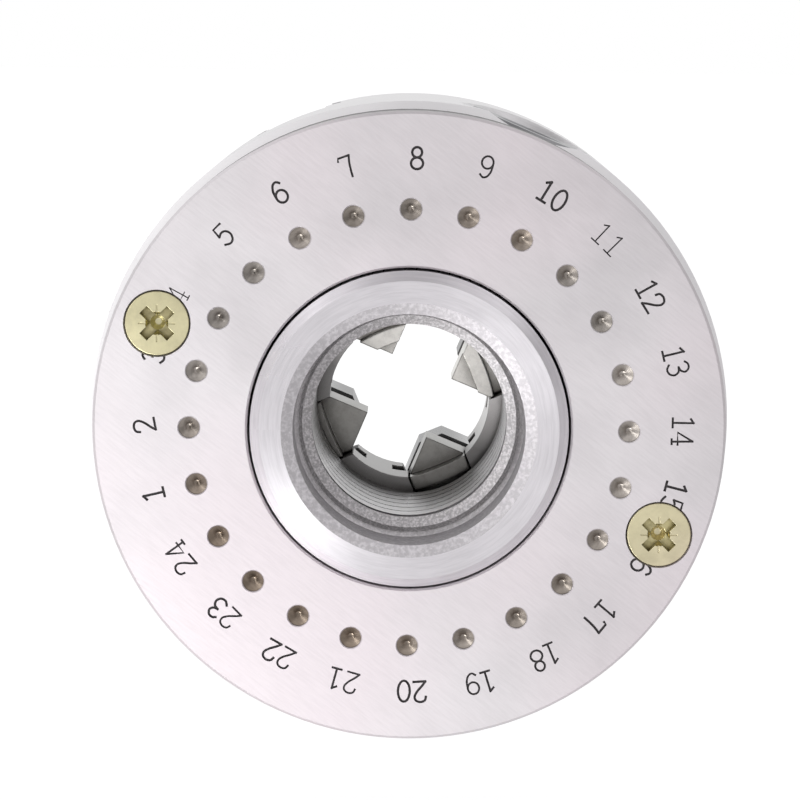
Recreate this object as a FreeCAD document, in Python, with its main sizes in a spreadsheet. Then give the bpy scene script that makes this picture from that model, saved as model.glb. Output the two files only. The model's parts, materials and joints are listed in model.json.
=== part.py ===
"""Four-jaw self-centring scroll chuck for a wood lathe, spindle side towards -Y.

The chuck axis is Y, jaws towards +Y, Z up. The origin is the centre of the
hub's rear face. Each piece is drawn where it sits at rest.
"""
import FreeCAD
import Part
import Sketcher
import math
import os

from FreeCAD import Placement, Rotation, Vector

os.makedirs("parts", exist_ok=True)
doc = FreeCAD.newDocument("lathe_chuck")

# Driving sizes in mm. Radii are from the chuck axis, heights from the hub's rear face.
DRIVING = [
    ("body_radius", 47.625, "outside of the body, 3.75 inches across"),
    ("shell_wall", 6.425, "wall of the shell round the scroll"),
    ("body_chamfer", 1.2, "chamfer of the front rim"),
    ("hub_radius", 23.4, "outside of the hub"),
    ("hub_chamfer", 1.4, "chamfer round the hub's rear face"),
    ("thread_radius", 16.5, "M33 spindle thread, major radius"),
    ("register_step", 0.6, "register over the thread, on radius"),
    ("register_depth", 8.0, "end of the plain register"),
    ("bore_lead", 0.7, "depth of the chamfer at the register's mouth"),
    ("bore_flare", 1.7, "width of that chamfer, on radius"),
    ("centre_hole", 12.6, "hole through the front disc"),
    ("disc_thickness", 12.1, "thickness of the front disc"),
    ("bore_into_disc", 3.1, "end of the spindle bore behind the front disc"),
    ("plate_step", 1.125, "shoulder of the body outside the back plate"),
    ("plate_rear", 1.5, "rear face of the back plate"),
    ("plate_thickness", 8.8, "thickness of the back plate"),
    ("plate_fit", 0.4, "gap between hub and back plate"),
    ("plate_edge", 0.4, "chamfer of the plate's outer edges"),
    ("index_circle", 32.3, "radius of the circle of index dimples"),
    ("index_radius", 1.55, "index dimple"),
    ("index_wall", 0.6, "straight wall of an index dimple"),
    ("index_cone", 1.0, "height of the drill point under it"),
    ("screw_inset", 6.5, "plate screws inside the plate's edge"),
    ("screw_head", 4.7, "plate screw head radius"),
    ("screw_shank", 2.5, "M5 plate screw radius"),
    ("screw_grip", 9.0, "length of a plate screw in its boss"),
    ("boss_wall", 3.1, "wall of a screw boss round the screw"),
    ("boss_height", 11.2, "height of a screw boss"),
    ("scroll_gap", 0.5, "gap between scroll ring and shell"),
    ("running_gap", 0.05, "bearing gap between scroll ring and hub"),
    ("gear_inner", 31.0, "inner end of the ring gear's teeth"),
    ("ring_web", 5.055, "web between tooth gaps and spiral groove"),
    ("ridge_height", 2.8, "height of the spiral ridge"),
    ("scroll_pitch", 6.0, "travel of the jaws in one turn of the scroll"),
    ("flank_gap", 0.55, "play between spiral ridge and jaw teeth, each side"),
    ("clip_thickness", 1.2, "snap ring"),
    ("clip_play", 0.05, "play of the snap ring in its groove, each side"),
    ("clip_groove", 1.3, "depth of the snap ring's groove"),
    ("clip_width", 3.0, "radial width of the snap ring"),
    ("clip_gap", 0.5, "gap between snap ring and scroll ring"),
    ("journal_fit", 0.07, "running fit of the pinion journal"),
    ("journal_web", 0.73, "body left between journal bore and back plate"),
    ("journal_inset", 0.925, "pinion's end face inside the body's outside"),
    ("mouth_flare", 2.6, "flare of the pinion bore at the body's outside"),
    ("pilot_radius", 3.5, "pinion pilot"),
    ("pilot_fit", 0.06, "running fit of the pilot"),
    ("key_across", 8.0, "hexagon key socket, across flats"),
    ("pin_radius", 1.5, "pinion retaining pin"),
    ("pin_inset", 2.4, "pin's centre outside the shell's bore"),
    ("rib_half", 4.7, "half width of a jaw slide's rib"),
    ("wing_half", 7.0, "half width of a jaw slide's wings"),
    ("neck_half", 5.5, "half width of a jaw slide's neck"),
    ("slide_gap", 0.2, "gap between a jaw slide and its slot"),
    ("slide_tip", 7.2, "radius of a jaw slide's point at rest"),
    ("slide_inset", 2.225, "slide's outer end inside the body's outside"),
    ("wing_thickness", 4.0, "thickness of the wings"),
    ("wing_cover", 4.4, "body in front of the wings"),
    ("slide_stand", 0.3, "jaw seat in front of the body's face"),
    ("jaw_screw", 2.5, "M5 jaw screw radius"),
    ("jaw_screw_head", 4.25, "head radius of a jaw screw"),
    ("jaw_screw_length", 12.1, "shank of a jaw screw"),
    ("jaw_screw_cap", 5.0, "height of a jaw screw's head"),
    ("jaw_floor", 3.6, "jaw under the screw head"),
    ("base_radius", 37.5, "outside of a front jaw's base"),
    ("base_height", 9.2, "height of a front jaw's base"),
    ("nose_height", 9.3, "height of a front jaw's nose over its base"),
    ("nose_inner", 20.0, "gripping radius of the jaws at rest"),
    ("nose_wall", 5.6, "nose at its root"),
]
# Sizes that follow from them. The ring gear has 48 teeth and each pinion 10.
FOLLOWING = [
    ("shell_bore", "body_radius - shell_wall", "inside of the shell"),
    ("plate_radius", "body_radius - plate_step", "outside of the back plate"),
    ("plate_bore", "hub_radius + plate_fit", "hole of the back plate"),
    ("shell_rear", "plate_rear + plate_thickness", "rear face of the shell, where the plate lands"),
    ("screw_circle", "plate_radius - screw_inset", "radius of the circle of plate screws"),
    ("register_radius", "thread_radius + register_step", "plain register ahead of the thread"),
    ("scroll_bore", "hub_radius + running_gap", "bore of the scroll ring"),
    ("scroll_radius", "shell_bore - scroll_gap", "outside of the scroll ring"),
    ("pinion_end", "scroll_radius - 1.4", "outer end of the pinion's teeth"),
    ("pinion_start", "gear_inner + 0.6", "inner end of the pinion's teeth"),
    ("journal_radius", "pinion_end * 5.85 / 24 + 0.32", "journal, clear of the teeth's tips"),
    ("journal_bore", "journal_radius + journal_fit", "bore of the body for the journal"),
    ("pinion_height", "shell_rear + journal_web + journal_bore", "height of the pinion axis"),
    ("pilot_bore", "pilot_radius + pilot_fit", "pilot hole in the hub"),
    ("ring_rear", "pinion_height + 10.2", "rear face of the scroll ring inside its teeth"),
    ("groove_floor", "pinion_height + scroll_radius * (10 / 48 + 1.1 / 24) + ring_web", "floor of the spiral groove"),
    ("ridge_top", "groove_floor + ridge_height", "front end of the spiral ridge"),
    ("ridge_half", "(scroll_pitch / 2 - flank_gap + 0.05) / 2", "half thickness of the spiral ridge"),
    ("tooth_half", "ridge_half - 0.05", "half thickness of a jaw slide's tooth"),
    ("disc_rear", "ridge_top + 0.4", "rear face of the front disc"),
    ("tooth_top", "groove_floor + 0.6", "rear end of the slides' teeth"),
    ("slide_rear", "ridge_top + 0.7", "rear face of a slide's rib"),
    ("bore_end", "disc_rear - bore_into_disc", "shoulder at the end of the spindle bore"),
    ("front_face", "disc_rear + disc_thickness", "front face of the body"),
    ("wing_front", "front_face - wing_cover", "front face of the wings"),
    ("wing_rear", "wing_front - wing_thickness", "rear face of the wings"),
    ("slide_front", "front_face + slide_stand", "front face of a slide, where the jaw sits"),
    ("slide_end", "body_radius - slide_inset", "radius of a slide's outer end at rest"),
    ("base_front", "slide_front + base_height", "front face of a jaw's base"),
    ("nose_front", "base_front + nose_height", "front end of a jaw's nose"),
    ("nose_outer", "nose_inner + nose_wall", "outside of the jaw nose at its root"),
    ("clip_front", "ring_rear - clip_gap", "front face of the snap ring's groove"),
    ("clip_rear", "clip_front - clip_thickness - 2 * clip_play", "rear face of that groove"),
    ("clip_floor", "hub_radius - clip_groove", "floor of that groove"),
    ("pin_circle", "shell_bore + pin_inset", "distance of a retaining pin from the chuck's centre plane"),
    ("pin_offset", "journal_radius - 0.9", "distance of a retaining pin from the pinion axis"),
]

sheet = doc.addObject("Spreadsheet::Sheet", "sizes")
for row, (name, value, note) in enumerate(DRIVING + FOLLOWING, 1):
    sheet.set("A%d" % row, name)
    sheet.set("B%d" % row, "=" + value if isinstance(value, str) else "%g" % value)
    sheet.set("C%d" % row, note)
    sheet.setAlias("B%d" % row, name)
doc.recompute()
S = {name: float(sheet.get(name)) for name, value, note in DRIVING + FOLLOWING}

JAW_ANGLES = (22.5, 112.5, 202.5, 292.5)
PINION_ANGLES = (67.5, 247.5)
SCREW_ANGLES = (157.5, 337.5)
INDEX_COUNT = 24
RING_TEETH = 48
PINION_TEETH = 10
FAR = 2 * S["body_radius"]
UP = Vector(0, 1, 0)
CENTRE = Vector(0, 0, 0)


def polar(angle, radius, y=0.0):
    """The point at a polar angle in degrees, counted from +X towards +Z."""
    a = math.radians(angle)
    return Vector(radius * math.cos(a), y, radius * math.sin(a))


def around(shape, angle):
    """A shape drawn along +X, turned to a polar angle about the chuck axis."""
    turned_shape = shape.copy()
    turned_shape.rotate(CENTRE, Vector(0, -1, 0), angle)
    return turned_shape


def plane_of(body, role):
    """One of the body's own origin planes."""
    return [f for f in body.Origin.OriginFeatures if f.Role == role][0]


def outline(body, name, points, bind=()):
    """A closed sketch of straight lines; bind ties a point's place to the sheet."""
    sk = body.newObject("Sketcher::SketchObject", name)
    sk.AttachmentSupport = [(plane_of(body, "XY_Plane"), "")]
    sk.MapMode = "FlatFace"
    count = len(points)
    for i in range(count):
        a, b = points[i], points[(i + 1) % count]
        sk.addGeometry(Part.LineSegment(Vector(a[0], a[1], 0), Vector(b[0], b[1], 0)), False)
    for i in range(count):
        sk.addConstraint(Sketcher.Constraint("Coincident", i, 2, (i + 1) % count, 1))
    for index, axis, alias in bind:
        kind = "DistanceX" if axis == "x" else "DistanceY"
        value = points[index][0 if axis == "x" else 1]
        c = sk.addConstraint(Sketcher.Constraint(kind, -1, 1, index, 1, value))
        sk.setExpression("Constraints[%d]" % c, "sizes.%s * 1 mm" % alias)
    return sk


def turned(name, points, bind=()):
    """A body with one full revolution of (radius, height) points about its Y axis."""
    body = doc.addObject("PartDesign::Body", name + "_turned")
    sk = outline(body, name + "_profile", points, bind=bind)
    rev = body.newObject("PartDesign::Revolution", name + "_revolution")
    rev.Profile = sk
    rev.ReferenceAxis = (sk, ["V_Axis"])
    rev.Angle = 360
    body.Tip = rev
    doc.recompute()
    return body


def ring_pattern(body, feature, count, name):
    """Repeats a feature of the body round the chuck axis."""
    pattern = body.newObject("PartDesign::PolarPattern", name)
    pattern.Originals = [feature]
    pattern.Axis = (plane_of(body, "Y_Axis"), [""])
    pattern.Angle = 360
    pattern.Occurrences = count
    body.Tip = pattern
    doc.recompute()


def box(x0, x1, y0, y1, half_width):
    """A bar along +X, as wide to both sides of it."""
    return Part.makeBox(x1 - x0, y1 - y0, 2 * half_width, Vector(x0, y0, -half_width))


def upright(radius, foot, height):
    """A cylinder standing along the chuck axis."""
    return Part.makeCylinder(radius, height, foot, UP)


def solid_of(shape):
    """The shape's only solid, with its seams cleaned where that keeps it sound."""
    clean = shape.removeSplitter()
    shape = clean if clean.isValid() else shape
    return shape.Solids[0] if len(shape.Solids) == 1 else shape


def prism(points, y0, y1):
    """Points (x, z) as a closed outline, standing from y0 to y1."""
    wire = Part.makePolygon([Vector(x, y0, z) for x, z in points + points[:1]])
    return Part.Face(wire).extrude(Vector(0, y1 - y0, 0))


def spun(points):
    """Points (radius, height) revolved about the chuck axis."""
    wire = Part.makePolygon([Vector(r, y, 0) for r, y in points + points[:1]])
    return Part.Face(wire).revolve(CENTRE, UP, 360)


def radial_cylinder(angle, radius, r0, r1, y):
    """A cylinder along a radial line, from r0 to r1."""
    return Part.makeCylinder(radius, r1 - r0, polar(angle, r0, y), polar(angle, 1.0))


def hexagon(across, start):
    """Corners of a hexagon of a width across flats, the first one at an angle."""
    corner = across / 2 / math.cos(math.pi / 6)
    return [(corner * math.cos(start + k * math.pi / 3), corner * math.sin(start + k * math.pi / 3))
            for k in range(6)]


finished = []


def keep(name, shape):
    """Files a finished piece; its Label is the piece's own name."""
    feature = doc.addObject("Part::Feature", name)
    feature.Shape = shape
    feature.Label = name
    finished.append(feature)


# Chuck body: hub, front disc and shell in one turned piece.
chuck = turned("chuck_body", [
    (S["register_radius"] + S["bore_flare"], 0.0),
    (S["hub_radius"] - S["hub_chamfer"], 0.0),
    (S["hub_radius"], S["hub_chamfer"]),
    (S["hub_radius"], S["disc_rear"]),
    (S["shell_bore"], S["disc_rear"]),
    (S["shell_bore"], S["shell_rear"]),
    (S["plate_radius"], S["shell_rear"]),
    (S["body_radius"], S["shell_rear"] + S["plate_step"]),
    (S["body_radius"], S["front_face"] - S["body_chamfer"]),
    (S["body_radius"] - S["body_chamfer"], S["front_face"]),
    (S["centre_hole"] + 0.5, S["front_face"]),
    (S["centre_hole"], S["front_face"] - 0.5),
    (S["centre_hole"], S["bore_end"]),
    (S["thread_radius"], S["bore_end"]),
    (S["thread_radius"], S["register_depth"] + S["register_step"]),
    (S["register_radius"], S["register_depth"]),
    (S["register_radius"], S["bore_lead"]),
], bind=[(3, "x", "hub_radius"), (3, "y", "disc_rear"), (4, "x", "shell_bore"), (5, "y", "shell_rear"),
         (6, "x", "plate_radius"), (8, "x", "body_radius"), (9, "y", "front_face"), (12, "x", "centre_hole"),
         (12, "y", "bore_end"), (14, "x", "thread_radius"), (15, "y", "register_depth"),
         (15, "x", "register_radius")])
body = chuck.Shape
boss_radius = S["screw_shank"] + S["boss_wall"]
for angle in SCREW_ANGLES:
    # The boss is drawn with its seam away from the shell.
    boss = upright(boss_radius, Vector(S["screw_circle"], S["shell_rear"], 0), S["boss_height"])
    boss.rotate(Vector(S["screw_circle"], 0, 0), UP, 90)
    body = body.fuse(around(boss, angle))
    tapped = polar(angle, S["screw_circle"], S["shell_rear"])
    body = body.cut(upright(S["screw_shank"] - 0.4, tapped, S["screw_grip"] + 1.0))
gap = S["slide_gap"]
slot = box(0, FAR, S["bore_end"] - 0.1, S["wing_rear"] - gap / 2, S["rib_half"] + gap)
slot = slot.fuse([
    box(0, FAR, S["wing_rear"] - gap, S["wing_front"] + gap, S["wing_half"] + gap),
    box(0, FAR, S["wing_front"], FAR, S["neck_half"] + gap)])
for angle in JAW_ANGLES:
    body = body.cut(around(slot, angle))
for angle in PINION_ANGLES:
    body = body.cut(radial_cylinder(angle, S["journal_bore"], S["shell_bore"] - 5.0, FAR, S["pinion_height"]))
    flare = S["mouth_flare"]
    mouth = Part.makeCone(S["journal_bore"], S["journal_bore"] + 2 * flare, 2 * flare,
                          polar(angle, S["body_radius"] - flare, S["pinion_height"]), polar(angle, 1.0))
    body = body.cut(mouth)
    body = body.cut(radial_cylinder(angle, S["pilot_bore"], S["centre_hole"], S["hub_radius"] + 2.0,
                                    S["pinion_height"]))
body = body.cut(spun([(S["clip_floor"], S["clip_rear"]), (S["hub_radius"] + 5.0, S["clip_rear"]),
                      (S["hub_radius"] + 5.0, S["clip_front"]), (S["clip_floor"], S["clip_front"])]))


def pin_foot(angle):
    """Foot of a pinion's retaining pin, beside the pinion axis, in the shell's rear face."""
    side = Vector(-math.sin(math.radians(angle)), 0, math.cos(math.radians(angle)))
    return polar(angle, S["pin_circle"], S["shell_rear"]) + side * S["pin_offset"]


PIN_LENGTH = S["pinion_height"] - S["shell_rear"] + 4.8
for angle in PINION_ANGLES:
    body = body.cut(upright(S["pin_radius"], pin_foot(angle), PIN_LENGTH + 0.5))
keep("chuck_body", solid_of(body))

# Back plate with its ring of index dimples, like drill points.
edge = S["plate_edge"]
plate = turned("back_plate", [
    (S["plate_bore"] + 0.3, S["plate_rear"]),
    (S["plate_radius"] - edge, S["plate_rear"]),
    (S["plate_radius"], S["plate_rear"] + edge),
    (S["plate_radius"], S["shell_rear"] - edge),
    (S["plate_radius"] - edge, S["shell_rear"]),
    (S["plate_bore"], S["shell_rear"]),
    (S["plate_bore"], S["plate_rear"] + 0.3),
], bind=[(3, "x", "plate_radius"), (4, "y", "shell_rear"), (5, "x", "plate_bore"), (0, "y", "plate_rear")])
dimple = plate.newObject("Sketcher::SketchObject", "index_dimple_profile")
dimple.AttachmentSupport = [(plane_of(plate, "XY_Plane"), "")]
dimple.MapMode = "FlatFace"
r0, rim_y = S["index_circle"], S["plate_rear"]
wall_end = rim_y + S["index_wall"]
corners = [(r0, rim_y - 0.5), (r0 + S["index_radius"] + 0.15, rim_y - 0.5), (r0 + S["index_radius"] + 0.15, rim_y),
           (r0 + S["index_radius"], rim_y + 0.15), (r0 + S["index_radius"], wall_end),
           (r0, wall_end + S["index_cone"])]
for i, a in enumerate(corners):
    b = corners[(i + 1) % len(corners)]
    dimple.addGeometry(Part.LineSegment(Vector(a[0], a[1], 0), Vector(b[0], b[1], 0)), False)
dimple.addGeometry(Part.LineSegment(Vector(r0, rim_y - 2, 0), Vector(r0, wall_end + 3, 0)), True)
drill = plate.newObject("PartDesign::Groove", "index_dimple")
drill.Profile = dimple
drill.ReferenceAxis = (dimple, ["Axis0"])
drill.Angle = 360
plate.Tip = drill
doc.recompute()
ring_pattern(plate, drill, INDEX_COUNT, "index_dimples")
shape = plate.Shape
# The screw's head is a 90 degree cone under a short straight rim.
HEAD_RIM = 0.3
head_height = S["screw_head"] - S["screw_shank"]
for angle in SCREW_ANGLES:
    foot = polar(angle, S["screw_circle"], S["plate_rear"])
    shape = shape.cut(upright(S["screw_shank"] + 0.25, foot, S["plate_thickness"]))
    sink = Part.makeCone(S["screw_head"] + 0.25, S["screw_shank"] + 0.2, head_height + 0.05,
                         foot + UP * HEAD_RIM, UP)
    shape = shape.cut(sink.fuse(upright(S["screw_head"] + 0.25, foot - UP * 0.5, HEAD_RIM + 0.5)))
keep("back_plate", solid_of(shape))

# Plate screws: countersunk head, cross recess with four ticks between its arms, plain shank.
thread_start = S["plate_thickness"] - 0.1
screw_end = S["plate_thickness"] + S["screw_grip"]
RECESS_REACH, RECESS_ARM = 2.83, 0.75
TICK_NEAR, TICK_FAR = 1.5, 2.7
for number, angle in enumerate(SCREW_ANGLES, 1):
    blank = turned("plate_screw_%d" % number, [
        (0, 0), (S["screw_head"] - 0.1, 0), (S["screw_head"], 0.1), (S["screw_head"], HEAD_RIM),
        (S["screw_shank"], HEAD_RIM + head_height), (S["screw_shank"], thread_start),
        (S["screw_shank"] - 0.4, thread_start), (S["screw_shank"] - 0.4, screw_end), (0, screw_end)],
        bind=[(4, "x", "screw_shank"), (3, "x", "screw_head")])
    arms = box(-RECESS_REACH, RECESS_REACH, -0.5, 1.6, RECESS_ARM)
    arms = arms.fuse(around(arms, 90)).fuse(Part.makeCone(1.75, 0.5, 3.2, Vector(0, -0.1, 0), UP))
    ticks = [around(box(TICK_NEAR, TICK_FAR, -0.5, 0.18, 0.11), turn) for turn in (0, 90, 180, 270)]
    screw = blank.Shape.cut(around(arms, 45)).cut(Part.makeCompound(ticks))
    screw.translate(polar(angle, S["screw_circle"], S["plate_rear"]))
    keep("plate_screw_%d" % number, solid_of(screw))

# Scroll ring: turned blank, 48 bevel gaps behind, spiral ridge in front.
SLOPE = PINION_TEETH / RING_TEETH
RING_ADD, RING_DED = 0.75, 1.1
TOOTH_PHASE, PHASE_ANGLE = 13.25, 292.5


def module_at(r):
    """Gear module at a distance from the chuck axis, where the pitch cones meet."""
    return 2 * r / RING_TEETH


def ring_tip(r):
    """Height of the ring gear's tooth tips at a radius."""
    return S["pinion_height"] + r * SLOPE - RING_ADD * module_at(r)


scroll = doc.addObject("PartDesign::Body", "scroll_ring_body")
blank = outline(scroll, "scroll_blank_profile", [
    (S["scroll_bore"], S["ring_rear"]), (S["gear_inner"] - 1.0, S["ring_rear"]),
    (S["gear_inner"], ring_tip(S["gear_inner"])), (S["scroll_radius"], ring_tip(S["scroll_radius"])),
    (S["scroll_radius"], S["groove_floor"]), (S["scroll_bore"], S["groove_floor"])],
    bind=[(0, "x", "scroll_bore"), (1, "y", "ring_rear"), (2, "x", "gear_inner"),
          (4, "x", "scroll_radius"), (4, "y", "groove_floor")])
rev = scroll.newObject("PartDesign::Revolution", "scroll_blank")
rev.Profile = blank
rev.ReferenceAxis = (blank, ["V_Axis"])
rev.Angle = 360
scroll.Tip = rev
doc.recompute()


def gap_section(name, r):
    """Trapezoid of one tooth gap on the plane at radius r, standing across +X."""
    m = module_at(r)
    pitch_y = S["pinion_height"] + r * SLOPE
    mouth_y, floor_y = pitch_y - (RING_ADD + 0.8) * m, pitch_y + RING_DED * m
    half = math.pi * m / 4 + 0.10 * m
    lean = math.tan(math.radians(20))
    sk = scroll.newObject("Sketcher::SketchObject", name)
    sk.AttachmentSupport = [(plane_of(scroll, "YZ_Plane"), "")]
    sk.MapMode = "FlatFace"
    sk.AttachmentOffset = Placement(Vector(0, 0, r), Rotation())
    mouth = half + lean * (pitch_y - mouth_y)
    floor = half - lean * (floor_y - pitch_y)
    pts = [(mouth_y, -mouth), (mouth_y, mouth), (floor_y, floor), (floor_y, -floor)]
    for i in range(4):
        a, b = pts[i], pts[(i + 1) % 4]
        sk.addGeometry(Part.LineSegment(Vector(a[0], a[1], 0), Vector(b[0], b[1], 0)), False)
    return sk


loft = scroll.newObject("PartDesign::SubtractiveLoft", "tooth_gap")
loft.Profile = gap_section("gap_outer", S["scroll_radius"] + 1.8)
loft.Sections = [gap_section("gap_inner", S["gear_inner"] - 3.0)]
loft.Ruled = True
scroll.Tip = loft
doc.recompute()
ring_pattern(scroll, loft, RING_TEETH, "tooth_gaps")
ridge_phase = TOOTH_PHASE + S["scroll_pitch"] / 2
ridge_foot = S["groove_floor"] - 0.5


def spiral_point(phi, offset):
    """A point of the ridge's midline at a polar angle, moved outwards by an offset."""
    return polar(phi, ridge_phase - S["scroll_pitch"] * (phi - PHASE_ANGLE) / 360.0 + offset, ridge_foot)


def spiral_arcs(start, stop, offset, step=40.0):
    """Arcs through points of the spiral, from one polar angle to another."""
    count = max(1, round(abs(stop - start) / step))
    edges = []
    for i in range(count):
        a = start + (stop - start) * i / count
        b = start + (stop - start) * (i + 1) / count
        edges.append(Part.Arc(spiral_point(a, offset), spiral_point((a + b) / 2, offset),
                              spiral_point(b, offset)).toShape())
    return edges


# The spiral runs inwards with a growing angle, and is trimmed to the ring.
phi_out = PHASE_ANGLE - 360.0 * (S["scroll_radius"] + 2.8 - ridge_phase) / S["scroll_pitch"]
phi_in = PHASE_ANGLE + 360.0 * (ridge_phase - S["scroll_bore"] + 2.45) / S["scroll_pitch"]
half = S["ridge_half"]
edges = spiral_arcs(phi_out, phi_in, half)
edges.append(Part.makeLine(spiral_point(phi_in, half), spiral_point(phi_in, -half)))
edges += spiral_arcs(phi_in, phi_out, -half)
edges.append(Part.makeLine(spiral_point(phi_out, -half), spiral_point(phi_out, half)))
ridge = Part.Face(Part.Wire(edges)).extrude(Vector(0, S["ridge_top"] - ridge_foot, 0))
ridge = ridge.common(spun([(S["scroll_bore"], ridge_foot), (S["scroll_radius"], ridge_foot),
                           (S["scroll_radius"], S["ridge_top"]), (S["scroll_bore"], S["ridge_top"])]))
keep("scroll_ring", solid_of(scroll.Shape.fuse(ridge)))

# Snap ring: flat, open over 40 degrees, with a drilled lug at each end.
clip_inner, clip_outer = S["clip_floor"] + 0.1, S["clip_floor"] + 0.1 + S["clip_width"]
clip_y = S["clip_rear"] + S["clip_play"]
clip_body = turned("scroll_circlip", [
    (clip_inner, clip_y), (clip_outer, clip_y),
    (clip_outer, clip_y + S["clip_thickness"]), (clip_inner, clip_y + S["clip_thickness"])])
CLIP_ANGLE, LUG_TURN = 157.5, 23.5
clip = clip_body.Shape.cut(around(prism([(0, 0), (FAR, -0.35 * FAR), (FAR, 0.35 * FAR)], 0, FAR), CLIP_ANGLE))
for turn in (-LUG_TURN, LUG_TURN):
    lug_foot = polar(CLIP_ANGLE + turn, clip_outer + 0.4, clip_y)
    lug = upright(2.0, lug_foot, S["clip_thickness"])
    lug = lug.cut(upright(0.9, polar(CLIP_ANGLE + turn, clip_outer + 0.7, 0), FAR))
    lug = lug.cut(upright(S["hub_radius"] + 0.1, CENTRE, FAR))
    clip = clip.fuse(lug)
keep("scroll_circlip", solid_of(clip))

# Key pinions: bevel teeth inside, journal, pilot, hexagon socket.
PINION_ADD, PINION_DED = 0.85, 1.0


def pinion_section(r):
    """Outline of the ten teeth at a distance r from the chuck axis, round local +Z."""
    m = module_at(r)
    pitch_r = m * PINION_TEETH / 2
    base = pitch_r * math.cos(math.radians(20))
    root, tip = pitch_r - PINION_DED * m, pitch_r + PINION_ADD * m
    half_tooth = (math.pi / 2 - 0.22) / PINION_TEETH
    inv0 = math.tan(math.radians(20)) - math.radians(20)

    def flank(rr):
        """Half angle of the tooth at a radius of the section."""
        if rr <= base:
            return half_tooth + inv0 - 0.015
        a = math.acos(base / rr)
        return half_tooth + inv0 - (math.tan(a) - a)
    radii = (root, base, (base + pitch_r) / 2 + 0.2 * m, pitch_r + 0.4 * m, tip)
    pts = []
    for k in range(PINION_TEETH):
        mid = 2 * math.pi * k / PINION_TEETH
        for rr in radii:
            pts.append((rr, mid - flank(rr)))
        for rr in reversed(radii):
            pts.append((rr, mid + flank(rr)))
    flat = [Vector(rr * math.cos(a), rr * math.sin(a), r) for rr, a in pts]
    return Part.makePolygon(flat + flat[:1])


def rod(radius, z0, z1):
    """A round length of the pinion, along local +Z."""
    return Part.makeCylinder(radius, z1 - z0, Vector(0, 0, z0))


def pinion_shape():
    """The pinion drawn along +Z, its first tooth's centre towards +X."""
    start, end = S["pinion_start"], S["pinion_end"]
    face = S["body_radius"] - S["journal_inset"]
    neck = S["pin_offset"] - S["pin_radius"] - 0.2
    whole = Part.makeLoft([pinion_section(start), pinion_section(end)], True, True)
    whole = whole.fuse([
        rod(S["pilot_radius"], S["register_radius"] + 0.5, start + 1.0),
        rod(S["pilot_radius"] + 1.7, start - 1.4, start + 0.2),
        rod(S["pilot_radius"] + 2.8, end - 0.4, S["shell_bore"] + 0.1),
        rod(S["journal_radius"], S["shell_bore"], face)])
    groove_half = S["pin_radius"] + 0.1
    z0, z1 = S["pin_circle"] - groove_half, S["pin_circle"] + groove_half
    whole = whole.cut(rod(FAR, z0, z1).cut(rod(neck, z0, z1)))
    socket_wire = [Vector(x, y, end - 3.8) for x, y in hexagon(S["key_across"], math.pi / 6)]
    socket = Part.Face(Part.makePolygon(socket_wire + socket_wire[:1])).extrude(Vector(0, 0, 15))
    lead = Part.makeCone(S["key_across"] / 2, S["key_across"] / 2 + 1.6, 1.6, Vector(0, 0, face - 1.4))
    rim = rod(FAR, face - 0.7, face + 1.3).cut(
        Part.makeCone(S["journal_radius"], S["journal_radius"] - 2.0, 2.0, Vector(0, 0, face - 0.7)))
    return solid_of(whole.cut(socket).cut(lead).cut(rim))


pinion = pinion_shape()
pinion.rotate(CENTRE, Vector(0, 0, 1), 90)
# Local +Z becomes the outward radial at angle 0, local +Y stays the chuck axis.
pinion.rotate(CENTRE, UP, 90)
pinion.translate(Vector(0, S["pinion_height"], 0))
PIN_FIT = 0.02
for number, angle in enumerate(PINION_ANGLES, 1):
    keep("pinion_%d" % number, around(pinion, angle))
    pin_r = S["pin_radius"] - PIN_FIT
    pin_blank = turned("pinion_pin_%d" % number, [
        (0, 0), (pin_r - 0.4, 0), (pin_r, 0.4), (pin_r, PIN_LENGTH), (0, PIN_LENGTH)])
    pin = pin_blank.Shape.copy()
    pin.translate(pin_foot(angle) + UP * 0.1)
    keep("pinion_pin_%d" % number, solid_of(pin))

# Jaw slides, drawn along +X. Only the phase of the scroll teeth differs.
# A tooth's faces are curved between the tightest and the widest turn of the spiral.
outer_curve, inner_curve = S["scroll_bore"] + 0.35, S["scroll_radius"] + 1.3
SCREW_RADII = (S["slide_tip"] + 8.0, S["base_radius"] - 6.3)


def pointed(half_width, tip, y0, y1):
    """A bar along +X with a right-angled point at radius tip."""
    return prism([(tip, 0), (tip + half_width, -half_width), (FAR, -half_width), (FAR, half_width),
                  (tip + half_width, half_width)], y0, y1)


def slide_tooth(centre):
    """One crescent tooth: convex outwards, hollow inwards."""
    y0, y1, thick = S["tooth_top"], S["slide_rear"] + 0.4, S["tooth_half"]
    outer = upright(outer_curve, Vector(centre + thick - outer_curve, y0, 0), y1 - y0)
    inner = upright(inner_curve, Vector(centre - thick - inner_curve, y0 - 1, 0), y1 - y0 + 2)
    return outer.common(box(centre - 4, centre + 4, y0, y1, S["rib_half"])).cut(inner)


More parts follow.
